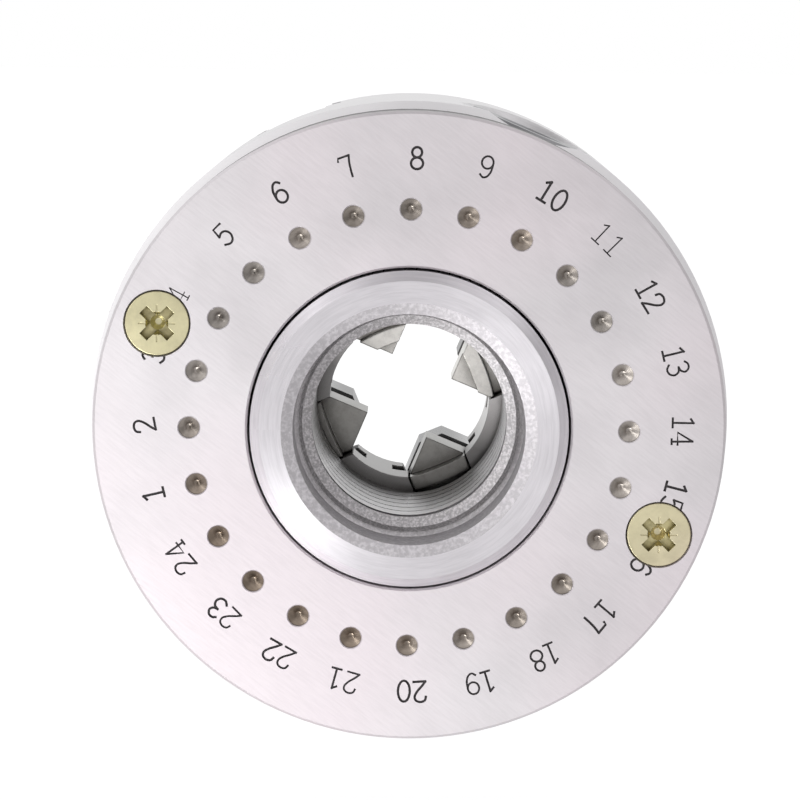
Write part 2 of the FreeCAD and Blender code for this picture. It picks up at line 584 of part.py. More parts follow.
def slide_shape(angle):
    """One jaw slide: rib, wings, neck and the teeth that ride in the spiral."""
    pitch = S["scroll_pitch"]
    centre = TOOTH_PHASE - pitch * (((angle - PHASE_ANGLE) % 360) / 360.0)
    while centre < S["slide_tip"] + 2.3:
        centre += pitch
    tip = S["slide_tip"]
    bar = pointed(S["rib_half"], tip, S["slide_rear"], S["wing_front"])
    bar = bar.fuse([pointed(S["wing_half"], tip, S["wing_rear"], S["wing_front"]),
                    pointed(S["neck_half"], tip + 2.8, S["wing_front"] - 0.5, S["slide_front"])])
    bar = bar.common(upright(S["slide_end"], CENTRE, FAR))
    point = pointed(S["rib_half"], tip, S["tooth_top"] - 1, S["slide_rear"] + 2)
    teeth = []
    while centre < S["slide_end"] - 2.2:
        teeth.append(slide_tooth(centre).common(point))
        centre += pitch
    bar = bar.fuse(teeth)
    for r in SCREW_RADII:
        tapped = S["jaw_screw_length"] - S["jaw_floor"] + 1.0
        bar = bar.cut(upright(S["jaw_screw"], Vector(r, S["slide_front"] - tapped, 0), tapped + 1.0))
    return solid_of(bar)


def jaw_shape():
    """A front jaw along +X: a quarter wedge with a dovetail nose."""
    y0, y1, y2 = S["slide_front"], S["base_front"], S["nose_front"]
    tip = S["slide_tip"]
    wedge = prism([(tip + 2, -2), (FAR, tip - FAR), (FAR, FAR - tip), (tip + 2, 2)], y0, y2)
    base = spun([(0, y0), (S["base_radius"], y0), (S["base_radius"], y1 - 0.8),
                 (S["base_radius"] - 0.8, y1), (0, y1)])
    base = base.common(wedge)
    ri, ro = S["nose_inner"], S["nose_outer"]
    nose = spun([(ri + 1.8, y1 - 0.5), (ro, y1 - 0.5), (ro - 1.3, y1 + 1.2), (ro + 0.9, y2 - 0.9),
                 (ro + 0.3, y2), (ri + 0.4, y2), (ri, y2 - 0.4), (ri, y2 - 2.0), (ri + 1.8, y1 + 1.0)])
    jaw = base.fuse(nose.common(wedge))
    for r in SCREW_RADII:
        jaw = jaw.cut(upright(S["jaw_screw"] + 0.25, Vector(r, y0 - 1, 0), y2 - y0 + 2))
        jaw = jaw.cut(upright(S["jaw_screw_head"] + 0.45, Vector(r, y0 + S["jaw_floor"], 0), y2 - y0))
    return solid_of(jaw)


# Jaw screws: socket cap screws, head in the jaw, shank in the slide.
shank, cap = S["jaw_screw_length"], S["jaw_screw_cap"]
screw_blank = turned("jaw_screw", [
    (0, 0), (S["jaw_screw"], 0), (S["jaw_screw"], shank), (S["jaw_screw_head"], shank),
    (S["jaw_screw_head"], shank + cap - 0.6), (S["jaw_screw_head"] - 0.6, shank + cap), (0, shank + cap)],
    bind=[(1, "x", "jaw_screw"), (3, "x", "jaw_screw_head"), (3, "y", "jaw_screw_length")])
JAW_SCREW_KEY = 1.6 * S["jaw_screw"]
key_wire = [Vector(x, shank + cap - 2.6, z) for x, z in hexagon(JAW_SCREW_KEY, 0)]
cap_screw = screw_blank.Shape.cut(Part.Face(Part.makePolygon(key_wire + key_wire[:1])).extrude(UP * cap))
screws = []
for r in SCREW_RADII:
    placed = cap_screw.copy()
    placed.translate(Vector(r, S["slide_front"] + S["jaw_floor"] - shank, 0))
    screws.append(solid_of(placed))
jaw = jaw_shape()
for number, angle in enumerate(JAW_ANGLES, 1):
    keep("jaw_slide_%d" % number, around(slide_shape(angle), angle))
    keep("front_jaw_%d" % number, around(jaw, angle))
    keep("jaw_screws_%d" % number, around(Part.makeCompound(screws), angle))

doc.recompute()
for item in doc.Objects:
    assert "Invalid" not in item.State and "Error" not in item.State, item.Name
for feature in finished:
    shape, name = feature.Shape, feature.Label
    assert not shape.isNull() and shape.isValid(), name
    assert len(shape.Solids) == (len(screws) if name.startswith("jaw_screws") else 1), name
    shape.exportStep("parts/%s.step" % name)
    bounds = shape.BoundBox
    print(name, "%.2f cm3, y %.2f to %.2f" % (shape.Volume / 1000, bounds.YMin, bounds.YMax))
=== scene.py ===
"""Looks of the wood lathe chuck, drawn round its CAD frame.

Positions are in metres in the row frame: the chuck axis is Y with the hub's
rear face at 0, the camera stands on the -Y side, Z is up.
"""
import json
import math
import random

import bmesh
import bpy
from mathutils import Matrix, Vector


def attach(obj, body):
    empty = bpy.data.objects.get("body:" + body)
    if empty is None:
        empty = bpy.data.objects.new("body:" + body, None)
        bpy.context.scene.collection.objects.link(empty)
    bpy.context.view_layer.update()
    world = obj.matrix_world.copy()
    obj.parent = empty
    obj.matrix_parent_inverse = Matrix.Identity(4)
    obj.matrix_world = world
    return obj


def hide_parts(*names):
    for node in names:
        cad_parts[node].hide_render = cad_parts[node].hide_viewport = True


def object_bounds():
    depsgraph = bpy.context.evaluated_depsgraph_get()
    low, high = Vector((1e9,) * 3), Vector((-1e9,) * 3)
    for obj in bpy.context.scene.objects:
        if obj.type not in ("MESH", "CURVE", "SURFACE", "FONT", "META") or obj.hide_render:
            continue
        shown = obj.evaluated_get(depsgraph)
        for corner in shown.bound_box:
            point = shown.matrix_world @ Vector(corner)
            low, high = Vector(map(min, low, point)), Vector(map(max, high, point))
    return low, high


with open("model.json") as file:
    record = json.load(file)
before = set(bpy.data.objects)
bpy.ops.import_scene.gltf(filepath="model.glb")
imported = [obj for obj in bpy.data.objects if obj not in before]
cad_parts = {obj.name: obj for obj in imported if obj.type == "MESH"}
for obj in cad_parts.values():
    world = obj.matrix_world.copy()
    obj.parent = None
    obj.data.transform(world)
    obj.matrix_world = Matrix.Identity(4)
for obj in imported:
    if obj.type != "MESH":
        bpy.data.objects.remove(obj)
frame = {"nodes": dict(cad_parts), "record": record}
size_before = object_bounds()
scene = bpy.context.scene
nodes = frame["nodes"]
MM = 0.001

# Places on the object that the looks share with the CAD frame, in mm.
PLATE_FACE = 1.5
SCREW_CIRCLE = 40.0
SCREW_ANGLES = (157.5, 337.5)
INDEX_COUNT = 24
INDEX_CIRCLE = 32.3
PINION_ANGLES = (67.5, 247.5)
PINION_HEIGHT = 21.0
PILOT_END, PILOT_RADIUS = 17.7, 3.56
MOUTH_REACH, MOUTH_DEPTH = 18.75, 8.1
BORE_WALL, BORE_END = 17.2, 36.45
HUB_REACH, HUB_DEPTH = 23.45, 12.0
INNER_REACH, INNER_DEPTH = 30.0, 51.6
SHOULDER_START, SHOULDER_DEPTH = 46.5, 11.4
RECESS_CENTRE, RECESS_REACH, TICK_DEPTH = 1.1, 2.9, 0.2
RECESS_END = 3.5
THREAD_MAJOR, THREAD_MINOR, THREAD_PITCH = 16.5, 14.6, 3.5
THREAD_START, THREAD_END = 11.7, 35.9


def polar(angle, radius, y=0.0):
    """A point in metres at a polar angle in degrees, seen from the camera."""
    a = math.radians(angle)
    return Vector((radius * math.cos(a), y, radius * math.sin(a))) * MM


# Materials

def new_material(name):
    """An empty material with one shader."""
    mat = bpy.data.materials.new(name)
    mat.use_nodes = True
    tree = mat.node_tree
    tree.nodes.clear()
    out = tree.nodes.new("ShaderNodeOutputMaterial")
    shader = tree.nodes.new("ShaderNodeBsdfPrincipled")
    tree.links.new(shader.outputs[0], out.inputs[0])
    return mat, tree, shader


def node(tree, kind, **settings):
    """A node, with its sockets or its settings set by name."""
    made = tree.nodes.new(kind)
    for key, value in settings.items():
        if key in made.inputs:
            made.inputs[key].default_value = value
        else:
            setattr(made, key, value)
    return made


def mapped(tree, scale, turn=(0, 0, 0)):
    """Object coordinates, turned and stretched."""
    coords = node(tree, "ShaderNodeTexCoord")
    spin = node(tree, "ShaderNodeMapping")
    spin.inputs["Rotation"].default_value = [math.radians(v) for v in turn]
    stretch = node(tree, "ShaderNodeMapping")
    stretch.inputs["Scale"].default_value = scale
    tree.links.new(coords.outputs["Object"], spin.inputs[0])
    tree.links.new(spin.outputs[0], stretch.inputs[0])
    return stretch.outputs[0]


def ramp(tree, source, stops):
    """Colours along a value, from (place, colour) stops."""
    made = node(tree, "ShaderNodeValToRGB")
    while len(made.color_ramp.elements) < len(stops):
        made.color_ramp.elements.new(0.5)
    for element, (at, colour) in zip(made.color_ramp.elements, stops):
        element.position = at
        element.color = (*colour, 1.0) if len(colour) == 3 else colour
    tree.links.new(source, made.inputs[0])
    return made.outputs[0]


def mixed(tree, kind, factor, a, b):
    """Two colours blended; each value is a socket, a number or a colour."""
    made = node(tree, "ShaderNodeMix", data_type="RGBA", blend_type=kind)
    for socket, value in ((made.inputs[0], factor), (made.inputs[6], a), (made.inputs[7], b)):
        if isinstance(value, (int, float)):
            socket.default_value = value
        elif isinstance(value, tuple):
            socket.default_value = (*value, 1.0)
        else:
            tree.links.new(value, socket)
    return made.outputs[2]


def noise(tree, vector, scale, detail=4.0, rough=0.5):
    """Cloudy values over a vector."""
    made = node(tree, "ShaderNodeTexNoise", Scale=scale, Detail=detail, Roughness=rough)
    tree.links.new(vector, made.inputs["Vector"])
    return made.outputs[0]


def bumped(tree, heights, strength, distance, under=None):
    """A bump from heights, on top of another normal."""
    made = node(tree, "ShaderNodeBump", Strength=strength, Distance=distance)
    tree.links.new(heights, made.inputs["Height"])
    if under:
        tree.links.new(under, made.inputs["Normal"])
    return made.outputs[0]


def turned_coords(tree, across, along):
    """Radius, depth and angle about the chuck axis, for the rings that turning leaves."""
    coords = node(tree, "ShaderNodeTexCoord")
    xyz = node(tree, "ShaderNodeSeparateXYZ")
    tree.links.new(coords.outputs["Object"], xyz.inputs[0])
    flat_xz = node(tree, "ShaderNodeCombineXYZ")
    tree.links.new(xyz.outputs[0], flat_xz.inputs[0])
    tree.links.new(xyz.outputs[2], flat_xz.inputs[2])
    radius = node(tree, "ShaderNodeVectorMath", operation="LENGTH")
    tree.links.new(flat_xz.outputs[0], radius.inputs[0])
    angle = node(tree, "ShaderNodeMath", operation="ARCTAN2")
    tree.links.new(xyz.outputs[2], angle.inputs[0])
    tree.links.new(xyz.outputs[0], angle.inputs[1])
    joined = node(tree, "ShaderNodeCombineXYZ")
    for source, factor, slot in ((radius.outputs["Value"], across, 0), (xyz.outputs[1], across, 1),
                                 (angle.outputs[0], along, 2)):
        scaled = node(tree, "ShaderNodeMath", operation="MULTIPLY")
        scaled.inputs[1].default_value = factor
        tree.links.new(source, scaled.inputs[0])
        tree.links.new(scaled.outputs[0], joined.inputs[slot])
    return joined.outputs[0]


CLOUD_FINENESS, PATCH_FINENESS = 45.0, 22.0
GRAIN_RELIEF, SPECKLE_RELIEF = 0.00005, 0.00008


def metal(name, colour, rough, cloud=0.06, grain=None, tint=None, bump=0.0, turned=0.0, speckle=None,
          edge=0.0, corner_shade=None, darkening=None, metallic=1.0):
    """A worn machined metal.

    cloud is the strength of its soft patches, and tint a second colour for some of them;
    grain is (scale, turn, strength) of its fine scratches, or of the rings of turning where turn is None;
    bump is how deep they look;
    turned stretches the highlights across the rings of turning;
    speckle is (strength, fineness) of chatter marks;
    edge rounds the look of its edges, in mm;
    corner_shade is (colour, reach in mm) of painted shade that darkens its corners and hollows by ambient
    occlusion;
    darkening is (direction, start, stop, level): it darkens the colour to level before start along a
    direction, in mm, or out from the axis where that is None, and thins out to nothing at stop; it is
    painted shade inside the chuck and on the plate's side, and makes the jaws darker towards the axis.
    """
    mat, tree, shader = new_material(name)
    shader.inputs["Metallic"].default_value = metallic
    base = mapped(tree, (1, 1, 1))
    clouds = noise(tree, base, CLOUD_FINENESS, 3.0, 0.55)
    low = tuple(max(0.0, c * (1 - cloud)) for c in colour)
    high = tuple(min(1.0, c * (1 + cloud)) for c in colour)
    shade = ramp(tree, clouds, [(0.35, low), (0.65, high)])
    if tint:
        patches = noise(tree, base, PATCH_FINENESS, 2.0, 0.4)
        share = ramp(tree, patches, [(0.45, (0, 0, 0)), (0.62, (0.8, 0.8, 0.8))])
        shade = mixed(tree, "MIX", share, shade, tint)
    roughness = ramp(tree, clouds, [(0.3, (rough * 0.88,) * 3), (0.7, (rough * 1.12,) * 3)])
    normal = None
    if edge:
        rounded = node(tree, "ShaderNodeBevel", samples=6, Radius=edge * MM)
        normal = rounded.outputs[0]
    if grain:
        scale, turn, strength = grain
        vector = mapped(tree, scale, turn) if turn else turned_coords(tree, *scale)
        lines = noise(tree, vector, 1.0, 3.0, 0.7)
        shade = mixed(tree, "MULTIPLY", 1.0, shade,
                      ramp(tree, lines, [(0.36, (1 - strength,) * 3), (0.60, (1.0,) * 3)]))
        if bump:
            normal = bumped(tree, lines, bump, GRAIN_RELIEF, normal)
    if speckle:
        strength, fineness = speckle
        specks = noise(tree, base, fineness, 2.0, 0.6)
        shade = mixed(tree, "MULTIPLY", 1.0, shade,
                      ramp(tree, specks, [(0.42, (1 - strength,) * 3), (0.66, (1.0,) * 3)]))
        normal = bumped(tree, specks, 0.5, SPECKLE_RELIEF, normal)
    # Painted shade: the colour turns dark where ambient occlusion finds corners and hollows.
    if corner_shade:
        shade_colour, reach = corner_shade
        corners = node(tree, "ShaderNodeAmbientOcclusion", samples=8, Distance=reach * MM)
        share = ramp(tree, corners.outputs["AO"], [(0.25, (1, 1, 1)), (0.80, (0, 0, 0))])
        shade = mixed(tree, "MIX", share, shade, shade_colour)
    # Darker colour along a direction, or towards the axis.
    if darkening:
        direction, start, stop, level = darkening
        if direction:
            along = node(tree, "ShaderNodeVectorMath", operation="DOT_PRODUCT")
            along.inputs[1].default_value = direction
            tree.links.new(base, along.inputs[0])
        else:
            across = node(tree, "ShaderNodeVectorMath", operation="MULTIPLY")
            across.inputs[1].default_value = (1.0, 0.0, 1.0)
            tree.links.new(base, across.inputs[0])
            along = node(tree, "ShaderNodeVectorMath", operation="LENGTH")
            tree.links.new(across.outputs[0], along.inputs[0])
        share = node(tree, "ShaderNodeMapRange")
        share.inputs["From Min"].default_value = start * MM
        share.inputs["From Max"].default_value = stop * MM
        tree.links.new(along.outputs["Value"], share.inputs["Value"])
        shade = mixed(tree, "MULTIPLY", 1.0, shade,
                      ramp(tree, share.outputs[0], [(0.0, (level,) * 3), (1.0, (1.0,) * 3)]))
    if normal:
        tree.links.new(normal, shader.inputs["Normal"])
    if turned:
        shader.inputs["Anisotropic"].default_value = turned
        shader.inputs["Anisotropic Rotation"].default_value = 0.25
        around = node(tree, "ShaderNodeTangent", direction_type="RADIAL", axis="Y")
        tree.links.new(around.outputs[0], shader.inputs["Tangent"])
    tree.links.new(shade, shader.inputs["Base Color"])
    tree.links.new(roughness, shader.inputs["Roughness"])
    return mat


def flat(name, colour, rough=0.6, metallic=0.0):
    """An even finish."""
    mat, tree, shader = new_material(name)
    shader.inputs["Base Color"].default_value = (*colour, 1.0)
    shader.inputs["Roughness"].default_value = rough
    shader.inputs["Metallic"].default_value = metallic
    return mat


FINE_RINGS, COARSE_RINGS = (2600, 2), (1400, 2)
# Painted shade for the inner faces and slides: darker towards the lower left, plain towards the upper right.
LOWER_LEFT_SHADE = ((0.50, 0, 0.866), -1.5, 6.0, 0.36)
# Near-black painted shade for the corners inside the chuck.
DARK_CORNER_SHADE = ((0.09, 0.08, 0.07), 3.5)

plate_metal = metal("ground_plate", (0.71, 0.685, 0.70), 0.50, 0.05, ((2600, 90, 240), (0, 52, 0), 0.05),
                    (0.71, 0.655, 0.68), 0.2)
# The turned body carries painted shade in its corners.
body_metal = metal("turned_body", (0.70, 0.69, 0.70), 0.32, 0.03, (FINE_RINGS, None, 0.06), None, 0.12, 0.4,
                   edge=1.0, corner_shade=((0.07, 0.065, 0.06), 0.9))
hub_metal = metal("turned_hub", (0.82, 0.80, 0.83), 0.29, 0.06, ((2200, 3), None, 0.10), None, 0.15, 0.75)
bore_metal = metal("bore_wall", (0.78, 0.76, 0.77), 0.36, 0.08, (COARSE_RINGS, None, 0.14), None, 0.3, 0.3,
                   (0.22, 1800.0))
lead_metal = metal("thread_lead_in", (0.68, 0.66, 0.67), 0.52, 0.08, speckle=(0.40, 2600.0), metallic=0.85)
mouth_metal = metal("bore_mouth", (0.62, 0.60, 0.62), 0.55, 0.08, speckle=(0.24, 1800.0), metallic=0.7)
# Painted highlight: the body's shoulder is a lighter, less metallic copy of the body metal.
lit_shoulder_metal = metal("body_shoulder", (0.88, 0.87, 0.88), 0.50, 0.03, metallic=0.5)
# Painted shade: the plate's side is a darker copy of the plate metal, fading to near black towards the body.
shaded_plate_side = metal("plate_side", (0.48, 0.465, 0.47), 0.50, 0.10, darkening=((0, -1, 0), -10.0, -2.0, 0.02))
# The thread carries painted shade in its corners and painted shade that deepens along the bore, to 0.40 at
# its far end.
thread_metal = metal("thread_ridge", (0.74, 0.725, 0.735), 0.30, 0.08, (COARSE_RINGS, None, 0.14), None, 0.3,
                     0.3, (0.12, 1800.0), corner_shade=((0.13, 0.12, 0.115), 1.3),
                     darkening=((0, -1, 0), -34.0, -11.0, 0.40))
# The inner faces and slides carry painted shade in their corners and painted shade towards the lower left.
inner_metal = metal("inner_faces", (0.78, 0.765, 0.75), 0.32, 0.14, edge=0.25, corner_shade=DARK_CORNER_SHADE, darkening=LOWER_LEFT_SHADE)
slide_metal = metal("slide_metal", (0.90, 0.88, 0.83), 0.30, 0.12, ((900, 90, 900), (0, 0, 0), 0.14), None,
                    0.2, edge=0.35, corner_shade=DARK_CORNER_SHADE, darkening=LOWER_LEFT_SHADE)
# The jaws are darker towards the axis.
jaw_metal = metal("jaw_metal", (0.66, 0.66, 0.66), 0.28, 0.04, (FINE_RINGS, None, 0.08), None, 0.12, 0.5,
                  darkening=(None, 11.0, 17.0, 0.35))
scroll_metal = metal("scroll_metal", (0.42, 0.42, 0.43), 0.38, 0.12)
pinion_metal = metal("pinion_metal", (0.30, 0.30, 0.31), 0.36, 0.10)
zinc_metal = metal("yellow_zinc", (0.70, 0.655, 0.42), 0.34, 0.12, ((500, 500, 500), (0, 0, 0), 0.12),
                   (0.71, 0.63, 0.46), 0.2, edge=0.12)
# Painted shade: a darker copy of the zinc, dark in its corners, for the cross recesses.
shaded_zinc_recess = metal("shaded_zinc_recess", (0.50, 0.45, 0.25), 0.36, 0.25, ((700, 700, 700), (0, 0, 0), 0.30), None,
                    0.3, edge=0.15, corner_shade=((0.15, 0.125, 0.05), 0.8))
spring_metal = flat("dark_spring", (0.14, 0.14, 0.15), 0.4, 1.0)
black_oxide = flat("black_oxide", (0.035, 0.035, 0.038), 0.42, 0.6)
# The stamped strokes are coloured near black.
stamp_black = flat("stamped_floor", (0.045, 0.04, 0.042), 0.7, 0.2)
# The dimples carry painted shade in their hollows.
dimple_metal = metal("dimple_metal", (0.50, 0.465, 0.43), 0.30, 0.30, ((1500, 2), None, 0.25),
                     (0.31, 0.235, 0.17), corner_shade=((0.09, 0.075, 0.06), 2.2))

LOOKS = {"body_steel": body_metal, "plate_steel": plate_metal, "yellow_zinc": zinc_metal,
         "scroll_steel": scroll_metal, "spring_steel": spring_metal, "pinion_steel": pinion_metal,
         "slide_steel": slide_metal, "jaw_steel": jaw_metal, "black_screws": black_oxide}
SLOT_OF = {row["node"]: row["material_slot"] for row in frame["record"]["subparts"]}
for name, obj in nodes.items():
    obj.data.materials.clear()
    obj.data.materials.append(LOOKS[SLOT_OF[name]])


# The body's own regions: hub outside, bore wall, inner faces, bore mouth, shoulder, and the turned rest; the
# shoulder gets a lighter copy of the body metal as a painted highlight.
body_mesh = nodes["chuck_body"].data
HUB, BORE, INNER, MOUTH, SHOULDER = 1, 2, 3, 4, 5
for extra in (hub_metal, bore_metal, inner_metal, mouth_metal, lit_shoulder_metal):
    body_mesh.materials.append(extra)
for poly in body_mesh.polygons:
    c = poly.center
    r, y = math.hypot(c.x, c.z) / MM, c.y / MM
    hub_face = r > BORE_WALL and poly.normal.y < -0.95
    if r < MOUTH_REACH and y < MOUTH_DEPTH and not hub_face:
        poly.material_index = MOUTH
    elif r < BORE_WALL and y < BORE_END:
        poly.material_index = BORE
    elif r < HUB_REACH and y < HUB_DEPTH:
        poly.material_index = HUB
    elif r < INNER_REACH and y < INNER_DEPTH:
        poly.material_index = INNER
    elif r > SHOULDER_START and y < SHOULDER_DEPTH and poly.normal.y < -0.5:
        poly.material_index = SHOULDER

# The cross recesses of the plate screws take a darker copy of the zinc: painted shade in the recess.
for name, angle in zip(("plate_screw_1", "plate_screw_2"), SCREW_ANGLES):
    mesh = nodes[name].data
    mesh.materials.append(shaded_zinc_recess)
    axis = polar(angle, SCREW_CIRCLE)
    for poly in mesh.polygons:
        across = math.hypot(poly.center.x - axis.x, poly.center.z - axis.z) / MM
        deep = poly.center.y / MM - PLATE_FACE
        if RECESS_CENTRE < across < RECESS_REACH and TICK_DEPTH < deep < RECESS_END:
            poly.material_index = 1

# The flat ends of the pinions' pilots stand bright in the thread.
for name in ("pinion_1", "pinion_2"):
    mesh = nodes[name].data
    mesh.materials.append(bore_metal)
    for poly in mesh.polygons:
        if math.hypot(poly.center.x, poly.center.z) / MM < PILOT_END:
            poly.material_index = 1


# Mesh helpers

def mesh_object(name, verts, faces, material):
    """An object made of these points and faces."""
    mesh = bpy.data.meshes.new(name)
    mesh.from_pydata([tuple(v) for v in verts], [], faces)
    mesh.update()
    obj = bpy.data.objects.new(name, mesh)
    scene.collection.objects.link(obj)
    if material:
        mesh.materials.append(material)
    return obj


def smooth_by_angle(obj, degrees=30.0):
    """Smooth faces, with the edges sharper than this kept crisp."""
    bm = bmesh.new()
    bm.from_mesh(obj.data)
    for f in bm.faces:
        f.smooth = True
    limit = math.radians(degrees)
    for e in bm.edges:
        e.smooth = len(e.link_faces) == 2 and e.calc_face_angle(0.0) < limit
    bm.to_mesh(obj.data)
    bm.free()


def welded_copy(name, source):
    """A copy of a CAD node with its split vertices joined."""
    bm = bmesh.new()
    bm.from_mesh(nodes[source].data)
    bmesh.ops.remove_doubles(bm, verts=bm.verts, dist=1e-7)
    fresh = bpy.data.meshes.new(name)
    bm.to_mesh(fresh)
    bm.free()
    fresh.materials.clear()
    for m in nodes[source].data.materials:
        fresh.materials.append(m)
    obj = bpy.data.objects.new(name, fresh)
    scene.collection.objects.link(obj)
    return obj


def carve(obj, cutter, self_crossing=False):
    """Cuts the cutter out of obj; the cut keeps the cutter's materials."""
    cut = obj.modifiers.new("carve", "BOOLEAN")
    cut.operation, cut.solver, cut.object = "DIFFERENCE", "EXACT", cutter
    cut.use_self = self_crossing
    cut.material_mode = "TRANSFER"
    bpy.context.view_layer.update()
    result = bpy.data.meshes.new_from_object(obj.evaluated_get(bpy.context.evaluated_depsgraph_get()))
    obj.modifiers.clear()
    obj.data = result
    bpy.data.objects.remove(cutter)
    return obj


# Index numbers, stamped by hand: strokes in a box one high, 0.6 wide.

def loop(cx, cy, rx, ry, start=0.0, stop=360.0, steps=20):
    """An ellipse, or a part of one."""
    return [(cx + rx * math.cos(math.radians(start + (stop - start) * i / steps)),
             cy + ry * math.sin(math.radians(start + (stop - start) * i / steps))) for i in range(steps + 1)]


def curve(points, steps=6):
    """A smooth line through points."""
    pts = [points[0]] + list(points) + [points[-1]]
    line = []
    for i in range(1, len(pts) - 2):
        p0, p1, p2, p3 = pts[i - 1:i + 3]
        for k in range(steps):
            t = k / steps
            line.append(tuple(0.5 * (2 * b + (c - a) * t + (2 * a - 5 * b + 4 * c - d) * t * t
                                     + (3 * b - a - 3 * c + d) * t ** 3)
                              for a, b, c, d in zip(p0, p1, p2, p3)))
    return line + [pts[-2]]


STROKES = {
    "0": [loop(0.30, 0.5, 0.27, 0.49)],
    "1": [[(0.32, 0.98), (0.32, 0.03)], [(0.33, 0.98), (0.13, 0.84)], [(0.10, 0.03), (0.54, 0.03)]],
    "2": [curve([(0.04, 0.74), (0.10, 0.92), (0.30, 0.99), (0.50, 0.91), (0.55, 0.72), (0.42, 0.48),
                 (0.20, 0.24), (0.04, 0.03)]), [(0.03, 0.03), (0.59, 0.04)]],
    "3": [curve([(0.06, 0.86), (0.20, 0.98), (0.40, 0.96), (0.52, 0.78), (0.42, 0.60), (0.24, 0.54)]),
          curve([(0.24, 0.54), (0.46, 0.48), (0.56, 0.28), (0.46, 0.07), (0.24, 0.01), (0.05, 0.14)])],
    "4": [[(0.45, 0.98), (0.03, 0.30), (0.60, 0.30)], [(0.45, 0.98), (0.45, 0.03)],
          [(0.33, 0.03), (0.57, 0.03)]],
    "5": [[(0.54, 0.97), (0.12, 0.97), (0.09, 0.54)],
          curve([(0.09, 0.54), (0.28, 0.63), (0.48, 0.56), (0.57, 0.34), (0.48, 0.10), (0.28, 0.01),
                 (0.04, 0.13)])],
    "6": [curve([(0.52, 0.86), (0.38, 0.98), (0.20, 0.92), (0.07, 0.66), (0.05, 0.34)]),
          loop(0.31, 0.30, 0.26, 0.29)],
    "7": [[(0.03, 0.82), (0.06, 0.96), (0.57, 0.98)],
          curve([(0.57, 0.98), (0.50, 0.66), (0.47, 0.34), (0.46, 0.02)])],
    "8": [loop(0.30, 0.76, 0.22, 0.23), loop(0.30, 0.27, 0.27, 0.26)],
    "9": [loop(0.29, 0.70, 0.26, 0.28), curve([(0.55, 0.66), (0.53, 0.34), (0.42, 0.10), (0.24, 0.01),
                                                (0.08, 0.12)])],
}
NUMBER_RADIUS, DIGIT_HEIGHT, DIGIT_STEP, STROKE = 39.45, 3.25, 2.4, 0.34
STAMP_DEPTH = 0.24
# Numbers struck askew or off their place, in degrees; the stroke of the eleven came out thin.
LEAN = {2: -8.0, 7: -5.0, 17: -6.0, 18: 8.0, 24: -8.0}
DRIFT = {4: 1.3, 15: 0.6, 16: 0.7}
FAINT = {4: 0.5, 11: 0.6}
RING_SHIFT = Vector((0.72, 0.0, 0.30)) * MM
random.seed(24)


def ribbon(points, width, y0, y1, verts, faces):
    """Adds one stroke to a cutter: a strip of even width, from y0 to y1."""
    closed = (points[0] - points[-1]).length < 1e-7
    pts = points[:-1] if closed else points
    n = len(pts)
    first = len(verts)
    for i, p in enumerate(pts):
        a = pts[i - 1] if (i or closed) else p
        b = pts[(i + 1) % n] if (i < n - 1 or closed) else p
        d = (b - a).normalized()
        side = Vector((-d.z, 0, d.x))
        end = Vector((0, 0, 0))
        if not closed and i in (0, n - 1):
            end = d * (width * 0.35) * (-1 if i == 0 else 1)
        for y in (y0, y1):
            for s in (-1, 1):
                q = p + side * s * width / 2 + end
                verts.append((q.x, y, q.z))
    spans = n if closed else n - 1
    for i in range(spans):
        a, b = first + 4 * i, first + 4 * ((i + 1) % n)
        faces.extend([(a, a + 1, b + 1, b), (a + 2, b + 2, b + 3, a + 3), (a, b, b + 2, a + 2),
                      (a + 1, a + 3, b + 3, b + 1)])
    if not closed:
        last = first + 4 * (n - 1)
        faces.extend([(first, first + 2, first + 3, first + 1), (last, last + 1, last + 3, last + 2)])


verts, faces = [], []
for number in range(1, INDEX_COUNT + 1):
    angle = 90.0 + (8 - number) * 360.0 / INDEX_COUNT + DRIFT.get(number, 0.0)
    text = str(number)
    for place, digit in enumerate(text):
        a = math.radians(angle)
        up = Vector((math.cos(a), 0, math.sin(a)))
        right = Vector((math.sin(a), 0, -math.cos(a)))
        lean = math.radians(LEAN.get(number, 0.0) + random.uniform(-3.0, 3.0))
        tall = up * math.cos(lean) + right * math.sin(lean)
        wide = right * math.cos(lean) - up * math.sin(lean)
        centre = RING_SHIFT + up * (NUMBER_RADIUS + random.uniform(-0.15, 0.15)) * MM
        centre += right * ((place - (len(text) - 1) / 2) * DIGIT_STEP + random.uniform(-0.08, 0.08)) * MM
        width = STROKE * FAINT.get(number, random.uniform(0.85, 1.1)) * MM
        for stroke in STROKES[digit]:
            line = [centre + (wide * (x - 0.30) + tall * (y - 0.5)) * DIGIT_HEIGHT * MM for x, y in stroke]
            ribbon(line, width, (PLATE_FACE - 0.3) * MM, (PLATE_FACE + STAMP_DEPTH) * MM, verts, faces)
stamps = mesh_object("number_stamps", verts, faces, stamp_black)
bm = bmesh.new()
bm.from_mesh(stamps.data)
bmesh.ops.recalc_face_normals(bm, faces=bm.faces)
bm.to_mesh(stamps.data)
bm.free()

